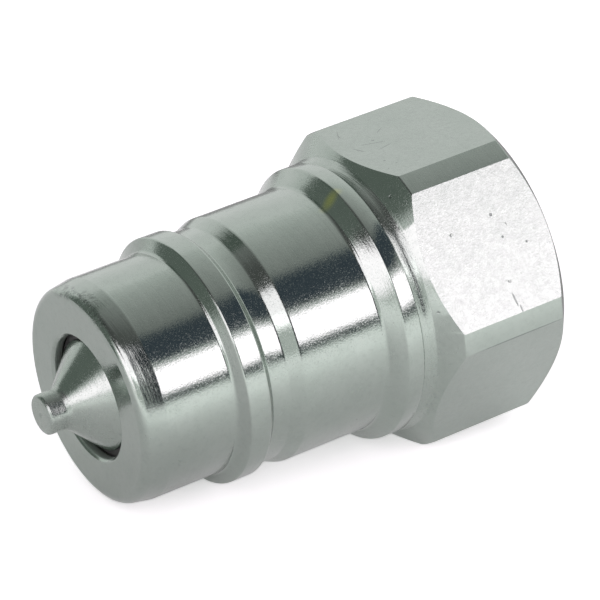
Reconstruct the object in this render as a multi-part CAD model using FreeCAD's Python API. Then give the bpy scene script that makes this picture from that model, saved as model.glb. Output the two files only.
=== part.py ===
# Push-pull hydraulic quick coupling, half inch size: the male nipple with its poppet valve.
# X runs along the axis from the probe's front face (X = 0) to the threaded port.
# Z is up: the part lies on one flat of its hexagon, as on a bench. All lengths are in mm.

import FreeCAD, Part
import math
import os

V = FreeCAD.Vector
AXIS = V(1, 0, 0)
ORIGIN = V(0, 0, 0)

# Probe: the turned nose that the socket's seal and sleeve slide over
probe_diameter = 20.5
probe_length = 9.1
probe_taper_length = 2.4
probe_taper_angle = 10.0
probe_edge_round = 0.95
probe_root_round = 0.3
mouth_diameter = 11.4
mouth_chamfer = 0.25

# Locking ridge and the groove behind it, where the socket's balls lock
ridge_diameter = 22.9
ridge_front_flank = 0.6
ridge_land = 2.05
ridge_edge_break = 0.15
groove_diameter = 21.8
groove_floor = 1.8
groove_rear_flank = 1.35

# Guide land behind the groove, then the collar and the ring in front of the hexagon
land_diameter = 22.9
land_length = 8.4
land_root_round = 0.3
collar_diameter = 25.65
collar_flank = 1.4
collar_land = 1.55
collar_edge_break = 0.12
line_groove_width = 0.16
line_groove_depth = 0.12
ring_front_diameter = 25.5
ring_length = 1.1

# Hexagon, milled on a round bar; its corners stay turned at this height above the flats
hex_across_flats = 27.0
corner_height = 1.5
front_chamfer_depth = 2.04
front_chamfer_angle = 40.0
rear_chamfer_depth = 1.8
rear_chamfer_angle = 39.0
overall_length = 41.7

# Port: parallel pipe thread, half inch; the bore is at the thread's outer diameter
thread_major_diameter = 20.955
thread_minor_diameter = 18.631
thread_length = 13.6
port_chamfer = 0.9
thread_runout = 1.3

# Valve chamber and seat cone
throat_length = 0.9
seat_angle = 45.0
chamber_diameter = 16.6

# Retaining ring: flat spring ring with an eye at each end for pliers, and its groove in the chamber
guide_station = 21.0
circlip_groove_diameter = 17.6
circlip_thickness = 1.0
circlip_side_clearance = 0.025
circlip_rim_clearance = 0.05
circlip_widest = 1.6
circlip_narrowest = 1.0
circlip_gap = 3.8
circlip_eye_diameter = 3.2
circlip_eye_hole = 1.5
circlip_eye_angle = 27.0
circlip_eye_inset = 1.3

# Poppet: pin, cone head, seal groove, flange, boss and stem in one turned piece
pin_reach = 4.5
pin_diameter = 3.7
pin_edge_round = 0.35
pin_root_round = 0.9
head_root_station = -2.6
head_station = 0.7
head_diameter = 10.2
head_rim = 0.4
seal_groove_diameter = 7.8
seal_width = 1.5
flange_diameter = 13.4
flange_thickness = 1.2
boss_diameter = 7.2
poppet_edge_break = 0.15
stem_diameter = 4.0
stem_overhang = 1.5
stem_chamfer = 0.5
poppet_travel = 4.8
stop_clearance = 0.2
seal_clearance = 0.1

# Valve guide: a hub on three legs that the stem slides in
hub_diameter = 7.2
hub_length = 6.0
hub_edge_break = 0.3
stem_clearance = 0.04
leg_count = 3
first_leg_angle = 180.0
leg_width = 2.6
leg_thickness = 3.0
leg_root_round = 0.8
leg_clearance = 0.08

# Return spring: closed and ground ends, wire drawn with flat sides
spring_wire = 1.0
spring_wire_sides = 8
spring_mean_diameter = 9.4
spring_active_coils = 4.5
spring_end_coils = 1.0
spring_end_pitch = 1.05
spring_ground = 0.25
spring_clearance = 0.02

# Stations along the axis that follow from the values above
ridge_start = probe_length + ridge_front_flank
ridge_end = ridge_start + ridge_land
floor_start = ridge_end + (ridge_diameter - groove_diameter) / 2
floor_end = floor_start + groove_floor
land_start = floor_end + groove_rear_flank
land_end = land_start + land_length
collar_start = land_end + collar_flank
collar_end = collar_start + collar_land
line_end = collar_end + line_groove_width
ring_end = line_end + ring_length
thread_end = overall_length - port_chamfer
thread_start = thread_end - thread_length
runout_start = thread_start - thread_runout
chamber_end = runout_start - (thread_minor_diameter - chamber_diameter) / 2
seal_front = head_station + head_rim
flange_front = seal_front + seal_width
flange_back = flange_front + flange_thickness
hub_front = guide_station - hub_length
leg_front = guide_station - leg_thickness
boss_end = hub_front - poppet_travel - stop_clearance
stem_end = guide_station + stem_overhang

ROUND = "round"
BREAK = "break"


def outline(corners):
    """Closed wire through corners (x, radius), or (x, radius, ROUND or BREAK, size) where one is eased."""
    places = [V(corner[0], 0, corner[1]) for corner in corners]
    count = len(corners)
    edges = []
    ends = []
    for i in range(count):
        points = eased(places[i - 1], places[i], places[(i + 1) % count], *corners[i][2:])
        ends.append((points[0], points[-1]))
        if len(points) == 3:
            edges.append(Part.Arc(*points).toShape())
        if len(points) == 2:
            edges.append(Part.makeLine(*points))
    for i in range(count):
        this_end, next_start = ends[i][1], ends[(i + 1) % count][0]
        if this_end.distanceToPoint(next_start) > 1e-6:
            edges.append(Part.makeLine(this_end, next_start))
    return Part.Wire(Part.__sortEdges__(edges))


def eased(last, here, following, form=None, size=0):
    """Points of a corner: itself, the two ends of a flat, or the three points of a tangent arc."""
    if form is None:
        return [here]
    to_last = (last - here).normalize()
    to_next = (following - here).normalize()
    if form == BREAK:
        return [here + to_last * size, here + to_next * size]
    half_angle = to_last.getAngle(to_next) / 2
    reach = size / math.tan(half_angle)
    depth = size / math.sin(half_angle) - size
    middle = here + (to_last + to_next).normalize() * depth
    return [here + to_last * reach, middle, here + to_next * reach]


def turned(corners):
    """Solid of revolution about the X axis."""
    return Part.Face(outline(corners)).revolve(ORIGIN, AXIS, 360)


def bar(radius, start, end):
    """Round bar about the X axis between two stations."""
    return Part.makeCylinder(radius, end - start, V(start, 0, 0), AXIS)


def rise(run, angle):
    """Height gained over a run at an angle in degrees."""
    return run * math.tan(math.radians(angle))


def body_outside():
    """Outer form of the nipple before its flats are milled."""
    probe_r = probe_diameter / 2
    nose_r = probe_r - rise(probe_taper_length, probe_taper_angle)
    bar_r = hex_across_flats / 2 + corner_height
    ring_r = bar_r - front_chamfer_depth
    line_r = ring_front_diameter / 2 - line_groove_depth
    front_chamfer_end = ring_end + rise(front_chamfer_depth, front_chamfer_angle)
    rear_chamfer_start = overall_length - rise(rear_chamfer_depth, rear_chamfer_angle)
    return turned([
        (0, 0),
        (0, nose_r, ROUND, probe_edge_round),
        (probe_taper_length, probe_r),
        (probe_length, probe_r, ROUND, probe_root_round),
        (ridge_start, ridge_diameter / 2, BREAK, ridge_edge_break),
        (ridge_end, ridge_diameter / 2, BREAK, ridge_edge_break),
        (floor_start, groove_diameter / 2),
        (floor_end, groove_diameter / 2),
        (land_start, land_diameter / 2, BREAK, ridge_edge_break),
        (land_end, land_diameter / 2, ROUND, land_root_round),
        (collar_start, collar_diameter / 2, BREAK, collar_edge_break),
        (collar_end, collar_diameter / 2),
        (collar_end + line_groove_width / 2, line_r),
        (line_end, ring_front_diameter / 2),
        (ring_end, ring_r),
        (front_chamfer_end, bar_r),
        (rear_chamfer_start, bar_r),
        (overall_length, bar_r - rear_chamfer_depth),
        (overall_length, 0),
    ])


def body_inside():
    """Everything bored out of the nipple: throat, seat, chamber, circlip groove and port."""
    throat_r = mouth_diameter / 2
    chamber_r = chamber_diameter / 2
    minor_r = thread_minor_diameter / 2
    major_r = thread_major_diameter / 2
    seat_end = throat_length + (chamber_r - throat_r) / math.tan(math.radians(seat_angle))
    groove_end = guide_station + circlip_thickness + 2 * circlip_side_clearance
    return turned([
        (0, 0),
        (0, throat_r + mouth_chamfer),
        (mouth_chamfer, throat_r),
        (throat_length, throat_r),
        (seat_end, chamber_r),
        (guide_station, chamber_r),
        (guide_station, circlip_groove_diameter / 2),
        (groove_end, circlip_groove_diameter / 2),
        (groove_end, chamber_r),
        (chamber_end, chamber_r),
        (runout_start, minor_r),
        (thread_start, minor_r),
        (thread_start, major_r),
        (thread_end, major_r),
        (overall_length, major_r + port_chamfer),
        (overall_length, 0),
    ])


def hexagon_prism():
    """Prism of the six flats over the whole length, with one flat facing down."""
    corner_r = hex_across_flats / math.sqrt(3)
    angles = [math.radians(60 * k) for k in range(7)]
    corners = [V(0, corner_r * math.cos(a), corner_r * math.sin(a)) for a in angles]
    return Part.Face(Part.makePolygon(corners)).extrude(AXIS * overall_length)


def nipple_body():
    return body_outside().common(hexagon_prism()).cut(body_inside())


def poppet():
    pin_r = pin_diameter / 2
    head_r = head_diameter / 2
    groove_r = seal_groove_diameter / 2
    flange_r = flange_diameter / 2
    boss_r = boss_diameter / 2
    stem_r = stem_diameter / 2
    return turned([
        (-pin_reach, 0),
        (-pin_reach, pin_r, ROUND, pin_edge_round),
        (head_root_station, pin_r, ROUND, pin_root_round),
        (head_station, head_r),
        (seal_front, head_r),
        (seal_front, groove_r),
        (flange_front, groove_r),
        (flange_front, flange_r),
        (flange_back, flange_r, BREAK, poppet_edge_break),
        (flange_back, boss_r),
        (boss_end, boss_r, BREAK, poppet_edge_break),
        (boss_end, stem_r),
        (stem_end - stem_chamfer, stem_r),
        (stem_end, stem_r - stem_chamfer),
        (stem_end, 0),
    ])


def poppet_seal():
    """Rubber ring in the poppet's groove; its cone closes on the seat."""
    groove_r = seal_groove_diameter / 2
    flange_r = flange_diameter / 2
    slope = math.tan(math.radians(seat_angle))
    offset = seal_clearance / math.cos(math.radians(seat_angle))
    cone_front_r = mouth_diameter / 2 + (seal_front - throat_length) * slope - offset
    cone_end = seal_front + (flange_r - cone_front_r) / slope
    return turned([
        (seal_front, groove_r),
        (seal_front, cone_front_r),
        (cone_end, flange_r),
        (flange_front, flange_r),
        (flange_front, groove_r),
    ])


def valve_guide():
    """Hub with legs that end on the chamber wall, resting on the retaining ring."""
    hub_r = hub_diameter / 2
    reach_r = chamber_diameter / 2 - leg_clearance
    spider = turned([
        (hub_front, 0),
        (hub_front, hub_r, BREAK, hub_edge_break),
        (guide_station, hub_r),
        (guide_station, 0),
    ])
    for k in range(leg_count):
        leg = Part.makeBox(leg_thickness, leg_width, 2 * reach_r, V(leg_front, -leg_width / 2, 0))
        leg.rotate(ORIGIN, AXIS, first_leg_angle + 360 * k / leg_count)
        spider = spider.fuse(leg)
    spider = spider.common(bar(reach_r, hub_front, guide_station)).removeSplitter()
    roots = [edge for edge in spider.Edges if is_leg_root(edge)]
    spider = spider.makeFillet(leg_root_round, roots)
    return spider.cut(bar(stem_diameter / 2 + stem_clearance, hub_front, guide_station))


def is_leg_root(edge):
    """True for a straight inside corner where the side of a leg meets the hub."""
    start, end = edge.Vertexes[0].Point, edge.Vertexes[-1].Point
    along_axis = abs(abs(start.x - end.x) - leg_thickness) < 1e-6
    on_hub = abs(math.hypot(start.y, start.z) - hub_diameter / 2) < 1e-6
    return along_axis and on_hub and math.hypot(start.y - end.y, start.z - end.z) < 1e-6


def retaining_ring():
    """Flat spring ring, widest at the bottom, with an eye each side of the gap at the top."""
    front = guide_station + circlip_side_clearance
    back = front + circlip_thickness
    rim_r = circlip_groove_diameter / 2 - circlip_rim_clearance
    hole_r = rim_r - (circlip_widest + circlip_narrowest) / 2
    hole = bar(hole_r, front, back)
    hole.translate(V(0, 0, (circlip_widest - circlip_narrowest) / 2))
    ring = bar(rim_r, front, back).cut(hole)
    for side in (-1, 1):
        eye = bar(circlip_eye_diameter / 2, front, back)
        eye_hole = bar(circlip_eye_hole / 2, front, back)
        for tool in (eye, eye_hole):
            tool.translate(V(0, 0, rim_r - circlip_eye_inset))
            tool.rotate(ORIGIN, AXIS, side * circlip_eye_angle)
        ring = ring.fuse(eye).cut(eye_hole)
    gap = Part.makeBox(circlip_thickness, circlip_gap, rim_r, V(front, -circlip_gap / 2, 0))
    return ring.cut(gap).common(bar(rim_r, front, back)).removeSplitter()


def helix_edges(turns, pitch, start, turns_before):
    """One stretch of the spring's centre line along X, after the turns already made."""
    helix = Part.makeHelix(pitch, pitch * turns, spring_mean_diameter / 2)
    helix.rotate(ORIGIN, V(0, 1, 0), 90)
    helix.rotate(ORIGIN, AXIS, 360 * turns_before)
    helix.translate(V(start, 0, 0))
    return helix.Edges


def return_spring():
    """Wire swept along closed, open and closed coils, then ground flat at both ends."""
    front = flange_back + spring_clearance
    back = leg_front - spring_clearance
    line_front = front + spring_ground * spring_wire
    line_back = back - spring_ground * spring_wire
    end_height = spring_end_coils * spring_end_pitch
    active_pitch = (line_back - line_front - 2 * end_height) / spring_active_coils
    coils = spring_end_coils + spring_active_coils
    edges = helix_edges(spring_end_coils, spring_end_pitch, line_front, 0)
    edges += helix_edges(spring_active_coils, active_pitch, line_front + end_height, spring_end_coils)
    edges += helix_edges(spring_end_coils, spring_end_pitch, line_back - end_height, coils)
    path = Part.Wire(edges)
    first = path.Edges[0]
    start = first.FirstParameter
    round_section = Part.Circle(first.valueAt(start), first.tangentAt(start), spring_wire / 2)
    section = Part.makePolygon(round_section.discretize(spring_wire_sides + 1))
    wire = path.makePipeShell([section], True, True)
    return wire.common(bar(spring_mean_diameter, front, back))


def main():
    os.makedirs("parts", exist_ok=True)
    pieces = {
        "nipple_body": nipple_body(),
        "poppet": poppet(),
        "poppet_seal": poppet_seal(),
        "return_spring": return_spring(),
        "valve_guide": valve_guide(),
        "retaining_ring": retaining_ring(),
    }
    for name, shape in pieces.items():
        print(name, "valid:", shape.isValid(), "solids:", len(shape.Solids), "mm3:", round(shape.Volume, 1))
        shape.exportStep(f"parts/{name}.step")


main()
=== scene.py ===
import math

import bmesh
import bpy
from mathutils import Matrix, Vector


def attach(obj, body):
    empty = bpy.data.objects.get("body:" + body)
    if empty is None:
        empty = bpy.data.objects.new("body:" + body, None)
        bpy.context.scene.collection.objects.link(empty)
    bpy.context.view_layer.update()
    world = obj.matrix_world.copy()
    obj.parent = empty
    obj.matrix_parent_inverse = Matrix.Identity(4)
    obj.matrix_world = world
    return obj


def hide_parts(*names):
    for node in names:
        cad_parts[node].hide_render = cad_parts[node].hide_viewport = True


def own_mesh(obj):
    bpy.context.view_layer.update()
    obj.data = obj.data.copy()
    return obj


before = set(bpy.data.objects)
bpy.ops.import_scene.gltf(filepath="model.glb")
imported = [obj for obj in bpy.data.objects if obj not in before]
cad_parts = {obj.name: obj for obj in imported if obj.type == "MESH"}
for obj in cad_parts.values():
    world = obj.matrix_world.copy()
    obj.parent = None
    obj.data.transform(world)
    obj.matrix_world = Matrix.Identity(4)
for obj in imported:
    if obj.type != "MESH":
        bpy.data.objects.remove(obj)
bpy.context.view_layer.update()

MM = 0.001
AXIS_TURN = (0, math.pi / 2, 0)
MERGE_DISTANCE = 1e-6
# How near in mm two ends of an edge lie on one ring, a ring lies at its corner, and a face lies on its flat
SAME_RING, AT_CORNER, ON_FLAT = 1e-4, 1e-3, 0.01
# Rounds over this many mm get more segments
BROAD_ROUND = 0.5
# In degrees: up to the first, neighbouring faces are one flat, and over the second, an edge is sharp
FLAT_ANGLE, SHARP_ANGLE = 0.5, 35
BODY_SIDES, VALVE_SIDES = 256, 128


# Workshop: picking, turning and easing

def only(piece):
    """Leaves one piece selected and active."""
    bpy.ops.object.select_all(action="DESELECT")
    piece.select_set(True)
    bpy.context.view_layer.objects.active = piece


def start_edit(piece, kind):
    """Opens a piece in edit mode with nothing picked, for VERT, EDGE or FACE picking."""
    only(piece)
    bpy.ops.object.mode_set(mode="EDIT")
    bpy.ops.mesh.select_mode(type=kind)
    bpy.ops.mesh.select_all(action="DESELECT")
    return bmesh.from_edit_mesh(piece.data)


def end_edit():
    """Goes back to object mode, so that the mesh holds the edit."""
    bpy.ops.object.mode_set(mode="OBJECT")


def fix_place(piece):
    """Puts a primitive's place, turn and size into its mesh, so that its object sits at the origin."""
    only(piece)
    bpy.ops.object.transform_apply(location=True, rotation=True, scale=True)


def apply_modifier(piece, kind, **settings):
    """Adds a modifier with these settings and makes it part of the mesh."""
    only(piece)
    bpy.ops.object.modifier_add(type=kind)
    modifier = piece.modifiers[-1]
    for setting, value in settings.items():
        setattr(modifier, setting, value)
    bpy.ops.object.modifier_apply(modifier=modifier.name)


def station(vertex):
    """Place along the axis and distance from it, in mm."""
    return vertex.co.x / MM, math.hypot(vertex.co.y, vertex.co.z) / MM


def turned(name, corners, sides, hollow):
    """Turns a piece from one ring: each corner is (station, radius, ease), all in mm.

    A hollow piece's last corner joins its first. Another piece is capped at both ends.
    """
    bpy.ops.object.select_all(action="DESELECT")
    first = corners[0]
    bpy.ops.mesh.primitive_circle_add(
        vertices=sides, radius=first[1] * MM, location=(first[0] * MM, 0, 0), rotation=AXIS_TURN)
    piece = bpy.context.object
    piece.name = piece.data.name = name
    fix_place(piece)
    bpy.ops.object.mode_set(mode="EDIT")
    if not hollow:
        bpy.ops.mesh.edge_face_add()
        bpy.ops.mesh.select_all(action="SELECT")
    following = corners[1:] + corners[:1] if hollow else corners[1:]
    extrude = bpy.ops.mesh.extrude_edges_move if hollow else bpy.ops.mesh.extrude_region_move
    last = first
    for corner in following:
        extrude(TRANSFORM_OT_translate={"value": ((corner[0] - last[0]) * MM, 0, 0)})
        growth = corner[1] / last[1]
        bpy.ops.transform.resize(value=(1, growth, growth), center_override=(corner[0] * MM, 0, 0))
        last = corner
    bpy.ops.mesh.select_all(action="SELECT")
    bpy.ops.mesh.remove_doubles(threshold=MERGE_DISTANCE)
    bpy.ops.mesh.normals_make_consistent(inside=False)
    end_edit()
    for ease in sorted({corner[2] for corner in corners}):
        if ease:
            ease_rings(piece, [corner for corner in corners if corner[2] == ease], ease)
    return piece


def ease_rings(piece, corners, ease):
    """Rounds the rings at these corners, a broad round with more segments than a narrow one."""
    mesh = start_edit(piece, "EDGE")
    for edge in mesh.edges:
        (x1, r1), (x2, r2) = station(edge.verts[0]), station(edge.verts[1])
        on_ring = abs(x1 - x2) < SAME_RING and abs(r1 - r2) < SAME_RING
        edge.select = on_ring and any(
            abs(x1 - x) < AT_CORNER and abs(r1 - r) < AT_CORNER for x, r, _ in corners)
    bmesh.update_edit_mesh(piece.data)
    bpy.ops.mesh.bevel(offset=ease * MM, segments=8 if ease > BROAD_ROUND else 3, affect="EDGES")
    end_edit()


def smooth(piece, angle=38):
    """Smooth shading that keeps broad faces true."""
    only(piece)
    bpy.ops.object.shade_smooth_by_angle(angle=math.radians(angle))
    apply_modifier(piece, "WEIGHTED_NORMAL", keep_sharp=True, weight=100)


def coat(piece, *paints):
    """Gives a piece these materials in place of its own."""
    piece.data.materials.clear()
    for paint in paints:
        piece.data.materials.append(paint)


def rise(run, angle):
    """Height that a slope of this angle gains over a run."""
    return run * math.tan(math.radians(angle))


# Sizes of the nipple, in mm and degrees, as on its drawing

ACROSS_FLATS, BAR_R, REAR_FACE_R, LENGTH = 27.0, 15.0, 13.2, 41.7
PROBE_R, RIDGE_R, GROOVE_R, LAND_R, COLLAR_R = 10.25, 11.45, 10.9, 11.45, 12.825
LINE_GROOVE_R, RING_FRONT_R, RING_STEP_R, RING_REAR_R, RING_STEP = 12.63, 12.7, 12.89, 12.96, 0.16
RING_START, RING_END = 26.96, 28.06
LEAD_LENGTH, LEAD_ANGLE = 2.4, 10
FRONT_CHAMFER_ANGLE, REAR_CHAMFER_ANGLE = 40, 39
NOSE_R = PROBE_R - rise(LEAD_LENGTH, LEAD_ANGLE)
FRONT_CHAMFER_END = RING_END + rise(BAR_R - RING_REAR_R, FRONT_CHAMFER_ANGLE)
REAR_CHAMFER_START = LENGTH - rise(BAR_R - REAR_FACE_R, REAR_CHAMFER_ANGLE)
FLAT_EDGE_BREAK = 0.05

MOUTH_R, MOUTH_CHAMFER, THROAT_LENGTH = 5.7, 0.25, 0.9
CHAMBER_R, CIRCLIP_R, CIRCLIP_START, CIRCLIP_END = 8.3, 8.8, 21.0, 22.05
SEAT_END = THROAT_LENGTH + CHAMBER_R - MOUTH_R
THREAD_MINOR_R, THREAD_MAJOR_R, PITCH, FLANK_ANGLE = 9.3155, 10.4775, 1.814, 27.5
RUNOUT_START, PORT_CHAMFER = 25.9, 0.9
CHAMBER_END = RUNOUT_START - (THREAD_MINOR_R - CHAMBER_R)
COUNTERSINK_R = THREAD_MAJOR_R + PORT_CHAMFER
COUNTERSINK_START = LENGTH - (COUNTERSINK_R - THREAD_MINOR_R)

# Station that the hexagon's cutter and the studio are centred on
MIDDLE = 20

# Corners of the section: station, radius and how far the edge is eased
OUTSIDE = [
    (0, NOSE_R, 0.78), (LEAD_LENGTH, PROBE_R, 0.1), (9.1, PROBE_R, 0.25),
    (9.7, RIDGE_R, 0.13), (11.75, RIDGE_R, 0.13), (12.3, GROOVE_R, 0.1), (14.1, GROOVE_R, 0.12),
    (15.45, LAND_R, 0.12), (23.85, LAND_R, 0.25), (25.25, COLLAR_R, 0.12), (26.8, COLLAR_R, 0.04),
    (26.88, LINE_GROOVE_R, 0.03), (RING_START, RING_FRONT_R, 0.04),
    (27.46, RING_STEP_R, 0.02), (27.5, RING_STEP_R - RING_STEP, 0.02), (RING_END, RING_REAR_R, 0.06),
    (FRONT_CHAMFER_END, BAR_R, 0.1), (REAR_CHAMFER_START, BAR_R, 0.1), (LENGTH, REAR_FACE_R, 0.08)]
INSIDE = [
    (LENGTH, COUNTERSINK_R, 0.06), (COUNTERSINK_START, THREAD_MINOR_R, 0.05),
    (RUNOUT_START, THREAD_MINOR_R, 0.05), (CHAMBER_END, CHAMBER_R, 0.05),
    (CIRCLIP_END, CHAMBER_R, 0.04), (CIRCLIP_END, CIRCLIP_R, 0.04),
    (CIRCLIP_START, CIRCLIP_R, 0.04), (CIRCLIP_START, CHAMBER_R, 0.04),
    (SEAT_END, CHAMBER_R, 0.1), (THROAT_LENGTH, MOUTH_R, 0.05),
    (MOUTH_CHAMFER, MOUTH_R, 0.05), (0, MOUTH_R + MOUTH_CHAMFER, 0.05)]


def nipple():
    """Body: turned, milled to a hexagon, the flats' edges broken, and the port tapped."""
    body = turned("plated_nipple", OUTSIDE + INSIDE, BODY_SIDES, True)
    bpy.ops.object.select_all(action="DESELECT")
    bpy.ops.mesh.primitive_cylinder_add(
        vertices=6, radius=ACROSS_FLATS / math.sqrt(3) * MM, depth=3 * MIDDLE * MM,
        location=(MIDDLE * MM, 0, 0), rotation=AXIS_TURN)
    flats = bpy.context.object
    fix_place(flats)
    apply_modifier(body, "BOOLEAN", operation="INTERSECT", solver="EXACT", object=flats)
    bpy.data.objects.remove(flats)
    break_flat_edges(body)
    cutter = tap()
    apply_modifier(body, "BOOLEAN", operation="DIFFERENCE", solver="EXACT", object=cutter)
    bpy.data.objects.remove(cutter)
    return body


def on_flat(face):
    """True for a face that lies on one of the six milled flats."""
    centre, normal = face.calc_center_median() / MM, face.normal
    return abs(normal.x) < ON_FLAT and abs(centre.dot(normal) - ACROSS_FLATS / 2) < ON_FLAT


def break_flat_edges(body):
    """Takes the sharpness off the edges of the six flats."""
    mesh = start_edit(body, "EDGE")
    for edge in mesh.edges:
        sides = [on_flat(face) for face in edge.link_faces]
        edge.select = sides.count(True) == 1
    bmesh.update_edit_mesh(body.data)
    bpy.ops.mesh.bevel(offset=FLAT_EDGE_BREAK * MM, segments=2, affect="EDGES", clamp_overlap=True)
    end_edit()


def tap():
    """Helical tool with the thread's form, from past the port's face to the runout."""
    steps, turns, overrun = 96, 9.0, 0.6
    half_root, lift = 0.16, 0.15
    inner_r = THREAD_MINOR_R - lift
    half_mouth = half_root + rise(THREAD_MAJOR_R - inner_r, FLANK_ANGLE)
    start = LENGTH + overrun * PITCH
    bpy.ops.object.select_all(action="DESELECT")
    bpy.ops.mesh.primitive_plane_add(size=1)
    tool = bpy.context.object
    tool.name = "tap"
    mesh = start_edit(tool, "VERT")
    form = [
        (-half_mouth, inner_r), (-half_root, THREAD_MAJOR_R),
        (half_root, THREAD_MAJOR_R), (half_mouth, inner_r)]
    around = sorted(mesh.verts, key=lambda vertex: math.atan2(vertex.co.y, vertex.co.x))
    for vertex, (offset, radius) in zip(around, form):
        vertex.co = Vector((start + offset, 0, radius)) * MM
    bmesh.update_edit_mesh(tool.data)
    end_edit()
    apply_modifier(tool, "SCREW", axis="X", angle=math.radians(-360 * turns), steps=int(steps * turns),
                   render_steps=int(steps * turns), screw_offset=-PITCH * turns * MM,
                   use_merge_vertices=False)
    start_edit(tool, "VERT")
    bpy.ops.mesh.select_all(action="SELECT")
    bpy.ops.mesh.normals_make_consistent(inside=False)
    end_edit()
    return tool


# Poppet, seal and spring, in mm

PIN_REACH, PIN_R, HEAD_R = 4.5, 1.85, 5.1
CONE_START, CONE_END = -2.6, 0.7
SEAL_FRONT, SEAL_BACK, SEAL_GROOVE_R, SEAL_CHAMFER = 1.1, 2.6, 3.9, 0.941
FLANGE_R, FLANGE_BACK, BOSS_R, BOSS_BACK = 6.7, 3.8, 3.6, 10.0
STEM_R, STEM_END, CENTRE_MARK_END = 2.0, 22.5, 22.2
POPPET = [
    (0.1 - PIN_REACH, 0.06, 0), (-PIN_REACH, 0.3, 0.04), (-PIN_REACH, PIN_R, 0.3), (CONE_START, PIN_R, 0.37),
    (CONE_END, HEAD_R, 0.06), (SEAL_FRONT, HEAD_R, 0.05), (SEAL_FRONT, SEAL_GROOVE_R, 0),
    (SEAL_BACK, SEAL_GROOVE_R, 0), (SEAL_BACK, FLANGE_R, 0.08), (FLANGE_BACK, FLANGE_R, 0.15),
    (FLANGE_BACK, BOSS_R, 0), (BOSS_BACK, BOSS_R, 0.15), (BOSS_BACK, STEM_R, 0),
    (STEM_END - 0.5, STEM_R, 0.06), (STEM_END, STEM_R - 0.5, 0.06),
    (STEM_END, 0.6, 0.05), (CENTRE_MARK_END, 0.1, 0)]
SEAL = [
    (SEAL_FRONT, SEAL_GROOVE_R, 0), (SEAL_FRONT, FLANGE_R - SEAL_CHAMFER, 0.1),
    (SEAL_FRONT + SEAL_CHAMFER, FLANGE_R, 0.15), (SEAL_BACK, FLANGE_R, 0.1), (SEAL_BACK, SEAL_GROOVE_R, 0)]

SPRING_FRONT, SPRING_BACK = 3.82, 17.98
SPRING_R, WIRE_R = 4.7, 0.5
END_COILS, OPEN_COILS, END_PITCH, GROUND = 1.0, 4.5, 1.05, 0.25
WIRE_SIDES, COIL_STEPS = 20, 72


def coil_station(turn):
    """Station of the wire's middle after this many turns: closed, open and closed again."""
    first, last = SPRING_FRONT + GROUND, SPRING_BACK - GROUND
    open_pitch = (last - first - 2 * END_COILS * END_PITCH) / OPEN_COILS
    closed = min(turn, END_COILS) + max(turn - END_COILS - OPEN_COILS, 0)
    opened = min(max(turn - END_COILS, 0), OPEN_COILS)
    return first + closed * END_PITCH + opened * open_pitch


def coil_spring():
    """Round wire wound into a coil spring with closed ends, ground flat."""
    turns = 2 * END_COILS + OPEN_COILS
    bpy.ops.object.select_all(action="DESELECT")
    bpy.ops.mesh.primitive_circle_add(
        vertices=WIRE_SIDES, radius=WIRE_R * MM, location=(0, 0, -SPRING_R * MM),
        rotation=(math.pi / 2, 0, 0))
    spring = bpy.context.object
    spring.name = spring.data.name = "poppet_spring"
    fix_place(spring)
    steps = int(COIL_STEPS * turns)
    apply_modifier(spring, "SCREW", axis="X", angle=math.radians(360 * turns), steps=steps,
                   render_steps=steps, screw_offset=0, use_merge_vertices=False)
    for vertex in spring.data.vertices:
        vertex.co.x += coil_station(vertex.index // WIRE_SIDES / COIL_STEPS) * MM
    mesh = start_edit(spring, "EDGE")
    for edge in mesh.edges:
        edge.select = edge.is_boundary
    bmesh.update_edit_mesh(spring.data)
    bpy.ops.mesh.fill_holes(sides=0)
    for ground in (SPRING_FRONT, SPRING_BACK):
        bpy.ops.mesh.select_all(action="SELECT")
        bpy.ops.mesh.bisect(plane_co=(ground * MM, 0, 0), plane_no=(1, 0, 0), use_fill=True,
                            clear_inner=ground == SPRING_FRONT, clear_outer=ground == SPRING_BACK)
    bpy.ops.mesh.select_all(action="SELECT")
    bpy.ops.mesh.normals_make_consistent(inside=False)
    end_edit()
    return spring


def softened(node, name, width):
    """Copy of a CAD node with its sharp edges broken."""
    piece = bpy.data.objects.new(name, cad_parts[node].data.copy())
    piece.data.name = name
    bpy.context.scene.collection.objects.link(piece)
    start_edit(piece, "VERT")
    bpy.ops.mesh.customdata_custom_splitnormals_clear()
    bpy.ops.mesh.select_all(action="SELECT")
    bpy.ops.mesh.remove_doubles(threshold=MERGE_DISTANCE)
    bpy.ops.mesh.dissolve_limited(angle_limit=math.radians(FLAT_ANGLE))
    bpy.ops.mesh.normals_make_consistent(inside=False)
    end_edit()
    apply_modifier(piece, "BEVEL", width=width * MM, segments=2, limit_method="ANGLE",
                   angle_limit=math.radians(SHARP_ANGLE), harden_normals=False)
    return piece


# Materials: nodes, then finishes

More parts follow.
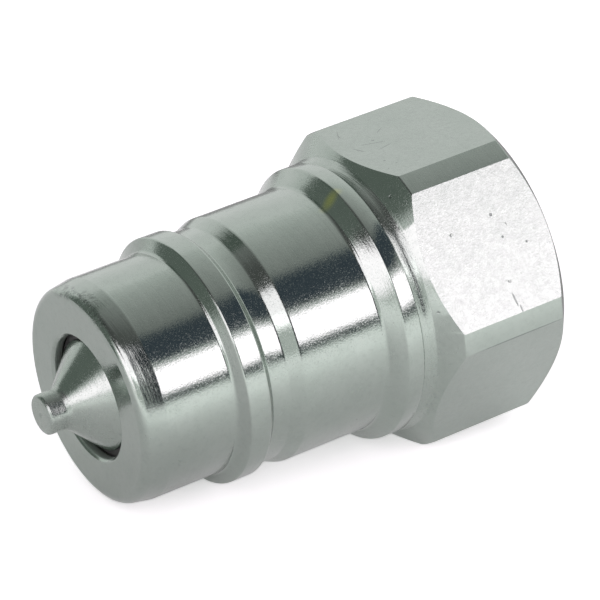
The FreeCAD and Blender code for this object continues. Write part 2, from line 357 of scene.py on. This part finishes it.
class Nodes:
    """Node tree of one material: adds nodes, fills their sockets and does sums on their outputs."""

    def __init__(self, name):
        self.paint = bpy.data.materials.new(name)
        self.paint.use_nodes = True
        self.tree = self.paint.node_tree

    def add(self, kind, settings=None, **inputs):
        """New node with these settings and inputs; a space in an input's name is written as _."""
        node = self.tree.nodes.new(kind)
        for setting, value in (settings or {}).items():
            setattr(node, setting, value)
        for name, value in inputs.items():
            self.give(node.inputs[name.replace("_", " ")], value)
        return node

    def give(self, socket, value):
        """Links a node's output to a socket, or sets the socket's value."""
        if isinstance(value, bpy.types.NodeSocket):
            self.tree.links.new(value, socket)
        else:
            socket.default_value = value

    def sum(self, operation, first, second=0.0):
        """Result of a math node on two values."""
        node = self.add("ShaderNodeMath", {"operation": operation})
        self.give(node.inputs[0], first)
        self.give(node.inputs[1], second)
        return node.outputs["Value"]

    def vector(self, operation, first, second=None, **inputs):
        """Result of a vector math node."""
        node = self.add("ShaderNodeVectorMath", {"operation": operation}, **inputs)
        self.give(node.inputs[0], first)
        if second is not None:
            self.give(node.inputs[1], second)
        return node.outputs["Value" if operation in ("LENGTH", "DOT_PRODUCT") else "Vector"]

    def ramp(self, value, low, high, to_low=0.0, to_high=1.0, kind="LINEAR"):
        """Value mapped from low..high to to_low..to_high, held at both ends."""
        return self.add("ShaderNodeMapRange", {"interpolation_type": kind}, Value=value, From_Min=low,
                        From_Max=high, To_Min=to_low, To_Max=to_high).outputs["Result"]


class Finish(Nodes):
    """Material of a surface of the part: its shader, and its coordinates in mm."""

    def __init__(self, name, color, metallic, roughness):
        super().__init__(name)
        self.shader = self.tree.nodes["Principled BSDF"]
        self.give(self.shader.inputs["Base Color"], (*color, 1))
        self.give(self.shader.inputs["Metallic"], metallic)
        self.give(self.shader.inputs["Roughness"], roughness)
        place = self.add("ShaderNodeTexCoord").outputs["Object"]
        self.place = self.vector("SCALE", place, Scale=1 / MM)

    def noise(self, place, per_mm, detail=2.0, rough=0.5):
        """Soft noise from 0 to 1 with this many features in a millimetre."""
        return self.add("ShaderNodeTexNoise", Vector=place, Scale=per_mm, Detail=detail,
                        Roughness=rough).outputs["Fac"]

    def between(self, value, low, high, to_low=0.0, to_high=1.0):
        """Ramp with soft ends."""
        return self.ramp(value, low, high, to_low, to_high, "SMOOTHSTEP")

    def band(self, value, rise_start, rise_end, fall_start, fall_end):
        """1 in a band of values, 0 outside it."""
        rising = self.between(value, rise_start, rise_end)
        return self.sum("MULTIPLY", rising, self.between(value, fall_start, fall_end, 1.0, 0.0))

    def blend(self, share, first, second):
        """First colour, with this share of the second."""
        node = self.add("ShaderNodeMix", {"data_type": "RGBA"})
        self.give(node.inputs["Factor"], share)
        for socket, color in ((node.inputs[6], first), (node.inputs[7], second)):
            self.give(socket, (*color, 1) if isinstance(color, tuple) else color)
        return node.outputs[2]

    def bump(self, height, micron):
        """Relief of this many thousandths of a millimetre over the last relief."""
        last = self.shader.inputs["Normal"].links
        inputs = {"Normal": last[0].from_socket} if last else {}
        node = self.add("ShaderNodeBump", Height=height, Distance=micron * MM / 1000, **inputs)
        self.give(self.shader.inputs["Normal"], node.outputs["Normal"])

    def spot(self, centre, size, turn=(0, 0, 0), edge=0.6):
        """1 inside an ellipsoid about a place in mm, 0 outside it, fading past this share of its size."""
        local = self.add(
            "ShaderNodeMapping", {"vector_type": "TEXTURE"}, Vector=self.place, Location=centre,
            Rotation=tuple(math.radians(angle) for angle in turn), Scale=size).outputs["Vector"]
        return self.between(self.vector("LENGTH", local), edge, 1.0, 1.0, 0.0)

    def marks(self, tone, spots, share, depth, edge=0.6, wear=1.0):
        """Mixes this share of a pit's tone into each spot, and sinks the relief there by this depth."""
        for centre, size, turn in spots:
            mark = self.sum("MULTIPLY", self.spot(centre, size, turn, edge), wear)
            tone = self.blend(self.sum("MULTIPLY", mark, share), tone, ZINC_PIT)
            if depth:
                self.bump(mark, -depth)
        return tone

    def lathe_place(self, drift=0.02):
        """Coordinates that run along a turned surface, so that noise on them makes turning lines."""
        parts = self.add("ShaderNodeSeparateXYZ", Vector=self.place).outputs
        radius = self.vector("LENGTH", self.vector("MULTIPLY", self.place, (0, 1, 1)))
        along = self.sum("ADD", parts["X"], self.sum("MULTIPLY", parts["Y"], drift))
        across = self.sum("ADD", radius, self.sum("MULTIPLY", parts["Z"], drift))
        return self.add("ShaderNodeCombineXYZ", X=along, Y=across).outputs["Vector"]


# Colours of the plating, and the depth of its pits in thousandths of a millimetre
ZINC = (0.345, 0.395, 0.357)
ZINC_DARK = (0.325, 0.377, 0.338)
ZINC_BLOTCH = (0.305, 0.352, 0.318)
ZINC_DULL = (0.295, 0.34, 0.308)
ZINC_PIT = (0.12, 0.14, 0.13)
ZINC_WARM = (0.58, 0.60, 0.26)
PIT_DEPTH = 10.0


def zinc_base(name, roughness):
    """Bright zinc plating: cloudy and mottled tone, and a few ragged pits."""
    zinc = Finish(name, ZINC, 1.0, roughness)
    zinc.clouds = zinc.noise(zinc.place, per_mm=0.35, detail=3.0)
    tone = zinc.blend(zinc.between(zinc.clouds, 0.3, 0.75), ZINC, ZINC_DARK)
    mottle = zinc.noise(zinc.place, per_mm=1.8, detail=5.0, rough=0.75)
    tone = zinc.blend(zinc.between(mottle, 0.45, 0.7, 0.0, 0.6), tone, ZINC_DULL)
    wander = zinc.add("ShaderNodeTexNoise", Vector=zinc.place, Scale=3.0, Detail=2.0).outputs["Color"]
    ragged = zinc.vector("ADD", zinc.place, zinc.vector("SCALE", wander, Scale=0.7))
    cells = zinc.add("ShaderNodeTexVoronoi", Vector=ragged, Scale=0.55).outputs
    lot = zinc.add("ShaderNodeSeparateColor", Color=cells["Color"]).outputs["Red"]
    has_pit = zinc.sum("GREATER_THAN", lot, 0.8)
    zinc.pit = zinc.sum("MULTIPLY", has_pit, zinc.between(cells["Distance"], 0.03, 0.075, 1.0, 0.0))
    zinc.tone = zinc.blend(zinc.sum("MULTIPLY", zinc.pit, 0.75), tone, ZINC_PIT)
    return zinc


# A spot is its centre, half lengths and turn, in mm and degrees. A band is where it rises and where it falls
NOSE_WEAR = [
    ((0.4, 1.9, 9.6), (1.1, 2.4, 1.1), (-8, 0, 0)), ((0.7, -1.1, 9.9), (1.2, 2.0, 1.0), (6, 0, 0)),
    ((0.3, -3.4, 9.1), (0.6, 2.2, 0.8), (22, 0, 0))]
EDGE_LINES = [((35.7, -14.96, -1.09), (6.0, 0.3, 0.1), (0, 0, 0))]
WARM_STAIN = ((24.6, -3.2, 11.8), (1.7, 0.8, 1.5), (0, 0, 0))
PIN_END = (-2.6, -2.0)
LEAD_BAND = (0.5, 0.9, 2.3, 2.6)
RING_BAND = (26.7, 26.9, 28.1, 28.3)
BORE_BAND = (5.2, 5.4, 8.5, 8.7)


def turned_zinc():
    """Zinc over turned steel: lines round the axis under crystal grain, and streaks on the lead and ring."""
    zinc = zinc_base("turned_zinc", 0.12)
    along = zinc.add("ShaderNodeSeparateXYZ", Vector=zinc.place).outputs["X"]
    radius = zinc.vector("LENGTH", zinc.vector("MULTIPLY", zinc.place, (0, 1, 1)))
    on_lead = zinc.band(along, *LEAD_BAND)
    on_ring = zinc.band(along, *RING_BAND)
    lathe = zinc.lathe_place()
    streaks = zinc.noise(zinc.lathe_place(0.1), per_mm=4.0, detail=3.0, rough=0.7)
    streaked = zinc.sum("MAXIMUM", zinc.sum("MULTIPLY", on_lead, 0.6), on_ring)
    zinc.bump(zinc.noise(lathe, per_mm=1.6), micron=8.0)
    zinc.bump(zinc.noise(lathe, per_mm=6.0), micron=5.0)
    zinc.bump(zinc.sum("MULTIPLY", streaks, streaked), micron=20.0)
    zinc.bump(zinc.noise(zinc.place, per_mm=5.5, detail=3.0, rough=0.7), micron=7.0)
    zinc.bump(zinc.pit, micron=-PIT_DEPTH)
    crystals = zinc.between(zinc.noise(zinc.place, per_mm=8.0), 0.46, 0.72, 0.0, 0.19)
    off_lead = zinc.sum("SUBTRACT", 1.0, zinc.sum("MULTIPLY", on_lead, 0.6))
    rough = zinc.between(zinc.clouds, 0.3, 0.75, 0.08, 0.13)
    for more in (
            zinc.sum("MULTIPLY", crystals, off_lead),
            zinc.between(along, *PIN_END, 0.12, 0.0),
            zinc.between(radius, *BORE_BAND[:2], 0.05, 0.0),
            zinc.sum("MULTIPLY", on_ring, 0.06),
            zinc.sum("MULTIPLY", on_lead, 0.04),
            zinc.sum("MULTIPLY", zinc.band(radius, *BORE_BAND), zinc.between(along, 0.1, 0.3, 0.0, 0.45))):
        rough = zinc.sum("ADD", rough, more)
    zinc.give(zinc.shader.inputs["Roughness"], rough)
    tone = zinc.blend(zinc.spot(*WARM_STAIN, edge=0.1), zinc.tone, ZINC_WARM)
    worn = zinc.between(zinc.noise(zinc.place, per_mm=2.4, detail=5.0, rough=0.75), 0.46, 0.62)
    tone = zinc.marks(tone, NOSE_WEAR, share=0.6, depth=8.0, edge=0.3, wear=worn)
    tone = zinc.marks(tone, EDGE_LINES, share=0.55, depth=0.0, edge=0.4)
    zinc.give(zinc.shader.inputs["Base Color"], tone)
    return zinc.paint


SPECKS = [
    ((36.44, -10.46, 8.88), (0.16, 0.2, 0.16), (0, 0, 0)),
    ((36.79, -11.55, 7.0), (0.12, 0.16, 0.12), (0, 0, 0)),
    ((32.0, -15.0, 0.35), (0.3, 0.3, 0.2), (0, 0, 0)), ((38.9, -12.1, 6.0), (0.12, 0.12, 0.12), (0, 0, 0))]
SCRATCHES = [
    ((35.75, -14.3, 2.2), (0.1, 0.3, 0.75), (-30, 0, 12)),
    ((36.05, -14.8, 1.4), (0.08, 0.3, 0.4), (-30, 0, 4))]
SCUFFS = [
    ((30.2, 0.35, 13.5), (0.95, 0.09, 0.3), (0, 0, -70)),
    ((32.35, -0.6, 13.5), (1.05, 0.09, 0.3), (0, 0, 12)),
    ((30.6, 4.35, 13.5), (1.1, 0.08, 0.3), (0, 0, 62)), ((32.0, 0.7, 13.5), (1.5, 0.07, 0.3), (0, 0, -20)),
    ((30.7, -3.0, 13.5), (0.16, 0.12, 0.3), (0, 0, 0)), ((31.25, -4.1, 13.5), (0.14, 0.1, 0.3), (0, 0, 20)),
    ((30.05, -4.6, 13.5), (0.18, 0.1, 0.3), (0, 0, 40)), ((33.9, 2.6, 13.5), (0.7, 0.07, 0.3), (0, 0, 35))]


def milled_zinc():
    """Zinc over the milled flats: blotched, with marks across the flat, specks, scratches and scuffs."""
    zinc = zinc_base("milled_zinc", 0.25)
    across = zinc.vector("MULTIPLY", zinc.place, (5.0, 1.1, 1.1))
    zinc.bump(zinc.noise(across, per_mm=1.0, detail=3.0, rough=0.6), micron=6.0)
    zinc.bump(zinc.noise(zinc.place, per_mm=5.0, detail=4.0, rough=0.7), micron=12.0)
    zinc.bump(zinc.pit, micron=-PIT_DEPTH)
    blotches = zinc.noise(zinc.place, per_mm=2.6, detail=4.0, rough=0.75)
    tone = zinc.blend(zinc.between(blotches, 0.4, 0.68, 0.0, 0.5), zinc.tone, ZINC_BLOTCH)
    for spots, share, depth in (
            (SPECKS, 0.8, 12.0), (SCRATCHES, 0.6, 10.0), (SCUFFS, 0.3, 6.0), (EDGE_LINES, 0.55, 4.0)):
        tone = zinc.marks(tone, spots, share, depth)
    mottle = zinc.noise(zinc.place, per_mm=1.3, detail=4.0, rough=0.7)
    zinc.give(zinc.shader.inputs["Roughness"], zinc.between(mottle, 0.3, 0.7, 0.23, 0.27))
    zinc.give(zinc.shader.inputs["Base Color"], tone)
    return zinc.paint


def rubber():
    """Moulded black rubber, between satin and dull."""
    light, dark = (0.045, 0.047, 0.045), (0.026, 0.027, 0.026)
    nitrile = Finish("black_nitrile", dark, 0.0, 0.45)
    nitrile.bump(nitrile.noise(nitrile.place, per_mm=9.0, detail=3.0), micron=4.0)
    clouds = nitrile.noise(nitrile.place, per_mm=1.2)
    nitrile.give(nitrile.shader.inputs["Roughness"], nitrile.between(clouds, 0.3, 0.7, 0.38, 0.55))
    nitrile.give(nitrile.shader.inputs["Base Color"], nitrile.blend(clouds, dark, light))
    return nitrile.paint


def plain_steel(name, light, dark, low_rough, high_rough, lines_per_mm):
    """Steel whose tone and gloss vary, with fine drawn or stamped lines."""
    steel = Finish(name, light, 1.0, low_rough)
    clouds = steel.noise(steel.place, per_mm=0.8, detail=3.0)
    steel.bump(steel.noise(steel.lathe_place(0.1), lines_per_mm), micron=1.0)
    steel.bump(steel.noise(steel.place, per_mm=6.0), micron=0.8)
    steel.give(steel.shader.inputs["Roughness"], steel.between(clouds, 0.3, 0.7, low_rough, high_rough))
    steel.give(steel.shader.inputs["Base Color"], steel.blend(clouds, light, dark))
    return steel.paint


def node_finishes():
    """Finish of each CAD node, which the piece that replaces it shares."""
    zinc = turned_zinc()
    return {
        "nipple_body": zinc,
        "poppet": zinc,
        "poppet_seal": rubber(),
        "return_spring": plain_steel(
            "drawn_spring_wire", (0.36, 0.37, 0.37), (0.28, 0.29, 0.29), 0.2, 0.3, 5.0),
        "valve_guide": plain_steel(
            "satin_guide_steel", (0.42, 0.44, 0.43), (0.34, 0.36, 0.35), 0.28, 0.4, 6.0),
        "retaining_ring": plain_steel(
            "dark_ring_steel", (0.10, 0.10, 0.10), (0.06, 0.06, 0.06), 0.3, 0.42, 6.0)}


# Lamps, bench and camera

PART_MIDDLE = Vector((MIDDLE, 0, 0)) * MM
# Distances from the part's middle, in metres
LAMP_DISTANCE, CARD_DISTANCE, NEAR_CARD_DISTANCE, CEILING_DISTANCE = 0.6, 0.58, 0.5, 0.75
# The lamps are a little rose, so that the greenish plating mirrors them white
ROSE_WHITE = (1.0, 0.8, 0.94)
PALE_ROSE = (1.0, 0.87, 0.965)


def facing_part(azimuth, elevation, distance):
    """Place and turn of something that looks at the part from a direction.

    Azimuth 0 is toward the front, 90 toward the port's side, and elevation is above level.
    """
    azimuth, elevation = math.radians(azimuth), math.radians(elevation)
    toward = Vector((
        math.sin(azimuth) * math.cos(elevation), -math.cos(azimuth) * math.cos(elevation),
        math.sin(elevation)))
    return PART_MIDDLE + toward * distance, toward.to_track_quat("Z", "Y")


def spanning(angle, distance):
    """Length that spans this angle at a distance."""
    return 2 * distance * math.tan(math.radians(angle / 2))


def softbox(name, azimuth, elevation, width, height, brightness, color):
    """Area lamp whose width and height are the angles that it spans as the part sees it."""
    lamp = bpy.data.lights.new(name, "AREA")
    lamp.shape = "RECTANGLE"
    lamp.size, lamp.size_y = spanning(width, LAMP_DISTANCE), spanning(height, LAMP_DISTANCE)
    lamp.color = color
    lamp.energy = brightness * math.pi * lamp.size * lamp.size_y
    holder = bpy.data.objects.new(name, lamp)
    bpy.context.scene.collection.objects.link(holder)
    holder.rotation_mode = "QUATERNION"
    holder.location, holder.rotation_quaternion = facing_part(azimuth, elevation, LAMP_DISTANCE)
    holder.visible_camera = False


def card(name, azimuth, elevation, width, height, shade, distance=CARD_DISTANCE):
    """Glowing card beside the part that only its reflections show; returns its nodes and its glow."""
    place, turn = facing_part(azimuth, elevation, distance)
    bpy.ops.object.select_all(action="DESELECT")
    bpy.ops.mesh.primitive_plane_add(size=1, location=place)
    board = bpy.context.object
    board.name = name
    board.rotation_mode = "QUATERNION"
    board.rotation_quaternion = turn
    board.scale = (spanning(width, distance), spanning(height, distance), 1)
    nodes = Nodes(name)
    nodes.tree.nodes.clear()
    glow = nodes.add("ShaderNodeEmission", Color=(*shade, 1))
    nodes.add("ShaderNodeOutputMaterial", Surface=glow.outputs["Emission"])
    board.data.materials.append(nodes.paint)
    board.visible_camera = False
    return nodes, glow


def ceiling():
    """Grey ceiling, dark at the left and the front, that pales toward the back right."""
    nodes, glow = card("ceiling_card", 0, 90, 104, 104, (0.4, 0.4, 0.4), CEILING_DISTANCE)
    place = nodes.add("ShaderNodeNewGeometry").outputs["Position"]
    to_back_right = nodes.vector("DOT_PRODUCT", place, (0.75, 0.6, 0))
    nodes.give(glow.inputs["Color"], nodes.ramp(to_back_right, -0.13, 0.75, 0.14, 1.02))


def studio():
    """Softboxes, dark cards and a white world, placed after the photograph's reflections."""
    softbox("front_right_softbox", 25, 18.6, 36, 22.4, 2.95, ROSE_WHITE)
    softbox("front_left_softbox", -26, 43, 48, 33, 2.5, PALE_ROSE)
    softbox("left_softbox", -68, 24, 27, 28, 1.9, ROSE_WHITE)
    softbox("back_softbox", 160, 26, 66, 38, 0.12, ROSE_WHITE)
    ceiling()
    card("front_black_card", 47, 47, 38, 22, (0.08, 0.10, 0.13))
    card("left_black_card", -124, 26, 56, 56, (0.22, 0.25, 0.23))
    card("back_left_black_card", -160, 56, 24, 30, (0.15, 0.18, 0.16))
    card("gap_black_card", 4.5, 18, 18, 88, (0.03, 0.04, 0.05), NEAR_CARD_DISTANCE)
    card("low_black_card", 24, 2.6, 50, 6.4, (0.12, 0.14, 0.15), NEAR_CARD_DISTANCE)
    world = bpy.data.worlds.new("studio")
    world.use_nodes = True
    world.node_tree.nodes["Background"].inputs["Color"].default_value = (1, 1, 1, 1)
    bpy.context.scene.world = world


def bench():
    """White bench that the part rests on with the front edge of its hexagon flat and its locking ridge."""
    ridge_x, flat_x, gap, metres_wide = 11.7, 29.7, 0.02, 6
    slope = math.atan2(RIDGE_R - ACROSS_FLATS / 2, flat_x - ridge_x)
    under_flat = Matrix.Translation(Vector((flat_x, 0, -ACROSS_FLATS / 2 - gap)) * MM)
    bpy.ops.object.select_all(action="DESELECT")
    bpy.ops.mesh.primitive_plane_add(size=metres_wide)
    top = bpy.context.object
    top.name = "bench"
    top.data.transform(under_flat @ Matrix.Rotation(-slope, 4, "Y"))
    top.data.materials.append(bench_white())


def bench_white():
    """White bench with painted light that only reflections on the part show: a painted glow brighter in front
    of it, and painted shade past its port at the back.
    """
    nodes = Nodes("bench_white")
    sockets = nodes.tree.nodes["Principled BSDF"].inputs
    for name, value in (("Roughness", 0.9), ("Specular IOR Level", 0.1), ("Emission Color", (1, 1, 1, 1))):
        nodes.give(sockets[name], value)
    rays = nodes.add("ShaderNodeLightPath").outputs
    position = nodes.add("ShaderNodeNewGeometry").outputs["Position"]
    place = nodes.add("ShaderNodeSeparateXYZ", Vector=position).outputs
    # Painted light: a glow that only mirror rays see, brighter in front of the part and toward the hexagon,
    # standing in for lamp glare on the bench and lighting the shade under the part
    mirrored = nodes.sum("MAXIMUM", rays["Is Glossy Ray"], rays["Is Transmission Ray"])
    in_front = nodes.ramp(place["Y"], -0.015, -0.065, 0.1, 0.74)
    toward_hexagon = nodes.ramp(place["X"], 0.006, 0.016, 0.0, 0.08)
    mirrored_painted_glow = nodes.sum("MULTIPLY", mirrored, nodes.sum("ADD", in_front, toward_hexagon))
    camera_lift = nodes.sum("MULTIPLY", rays["Is Camera Ray"], 0.5)
    nodes.give(sockets["Emission Strength"], nodes.sum("ADD", mirrored_painted_glow, camera_lift))
    # Painted shade: past the port and behind the part, the bench is darker in mirror rays only, so that the
    # rear edge shows a dark reflection
    past_end, behind = nodes.ramp(place["X"], 0.055, 0.06), nodes.ramp(place["Y"], -0.004, 0.002)
    mirrored_painted_shade = nodes.sum("MULTIPLY", nodes.sum("MULTIPLY", past_end, behind), mirrored)
    white = nodes.sum("SUBTRACT", 0.98, nodes.sum("MULTIPLY", mirrored_painted_shade, 0.75))
    nodes.give(sockets["Base Color"], white)
    return nodes.paint


CAMERA_PLACE = Vector((-123.92, -252.33, 151.36)) * MM
CAMERA_FORWARD = Vector((0.4461, 0.7695, -0.4570))
CAMERA_UP = Vector((0.3211, 0.3391, 0.8843))
FOCAL_LENGTH, SENSOR_WIDTH = 220.76, 36


def camera():
    """Camera with the photograph's view, as measured on the part's edges in it."""
    forward = CAMERA_FORWARD.normalized()
    sideways = forward.cross(CAMERA_UP).normalized()
    turn = Matrix((sideways, sideways.cross(forward), -forward)).transposed()
    lens = bpy.data.cameras.new("camera")
    lens.lens, lens.sensor_width = FOCAL_LENGTH, SENSOR_WIDTH
    lens.clip_start = 0.01
    eye = bpy.data.objects.new("camera", lens)
    bpy.context.scene.collection.objects.link(eye)
    eye.matrix_world = Matrix.Translation(CAMERA_PLACE) @ turn.to_4x4()
    bpy.context.scene.camera = eye


# Pieces

def show_flats(piece):
    """Gives the flats of the hexagon the second finish."""
    mesh = start_edit(piece, "FACE")
    for face in mesh.faces:
        face.select = on_flat(face)
    bmesh.update_edit_mesh(piece.data)
    piece.active_material_index = 1
    bpy.ops.object.material_slot_assign()
    end_edit()


def finish_body(finishes):
    """Plated body, in two finishes."""
    body = nipple()
    smooth(body)
    coat(body, finishes["nipple_body"], milled_zinc())
    show_flats(body)
    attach(body, "body")
    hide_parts("nipple_body")


def finish_valve(finishes):
    """Poppet and its seal."""
    poppet = turned("turned_poppet", POPPET, VALVE_SIDES, False)
    smooth(poppet)
    coat(poppet, finishes["poppet"])
    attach(poppet, "valve")
    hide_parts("poppet")
    seal = turned("nitrile_ring", SEAL, VALVE_SIDES, True)
    smooth(seal)
    coat(seal, finishes["poppet_seal"])
    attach(seal, "valve")
    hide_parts("poppet_seal")


def finish_spring(finishes):
    """Spring, which shortens toward its back end as the poppet slides in."""
    spring = coil_spring()
    smooth(spring, 50)
    coat(spring, finishes["return_spring"])
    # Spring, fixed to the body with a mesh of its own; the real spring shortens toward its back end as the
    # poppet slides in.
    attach(spring, "body")
    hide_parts("return_spring")
    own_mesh(spring)


def finish_guide(finishes):
    """Guide and the circlip that holds it."""
    guide = softened("valve_guide", "softened_guide", 0.12)
    smooth(guide)
    coat(guide, finishes["valve_guide"])
    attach(guide, "body")
    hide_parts("valve_guide")
    ring = softened("retaining_ring", "softened_ring", 0.1)
    smooth(ring)
    coat(ring, finishes["retaining_ring"])
    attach(ring, "body")
    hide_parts("retaining_ring")


bpy.context.scene.view_settings.view_transform = "Standard"
studio()
bench()
camera()
finishes = node_finishes()
finish_body(finishes)
finish_valve(finishes)
finish_spring(finishes)
finish_guide(finishes)
for name, finish in finishes.items():
    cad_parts[name].material_slots[0].material = finish
